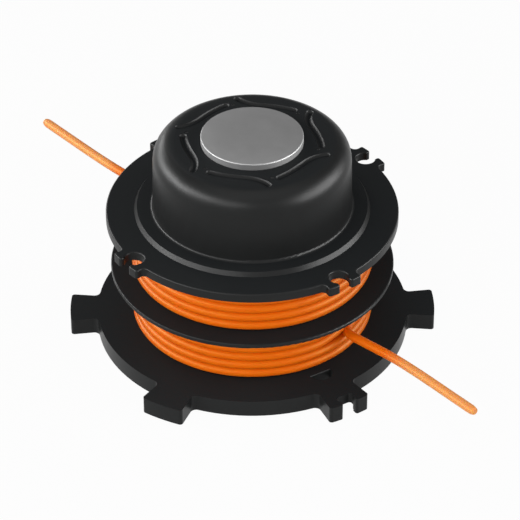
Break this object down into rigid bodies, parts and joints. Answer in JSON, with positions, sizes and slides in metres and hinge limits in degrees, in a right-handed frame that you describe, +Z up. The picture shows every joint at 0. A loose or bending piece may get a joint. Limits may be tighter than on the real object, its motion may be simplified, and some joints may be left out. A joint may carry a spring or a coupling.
{
  "type": "trimmer line spool",
  "caption": "Bump feed spool of a string trimmer: a flanged black plastic drum wound with orange cutting line, topped by a round bump knob with a metal wear button",
  "frame": {"origin": "On the spool's axis, in the plane of the bottom flange's underside, which is the face that it stands on", "axes": "+Z runs up the axis to the bump knob, -Y faces the camera of the picture and +X is the picture's right"},
  "size_m": [0.1121, 0.1066, 0.0582],
  "materials": {
    "black_plastic": "satin, fine moulded grain",
    "button_metal": "satin",
    "orange_line": "slightly clouded nylon"
  },
  "bodies": {
    "root": {"spool_body": "black_plastic", "wear_button": "button_metal", "lower_line_winding": "orange_line", "upper_line_winding": "orange_line", "lower_line_end": "orange_line", "upper_line_end": "orange_line"}
  },
  "joints": []
}
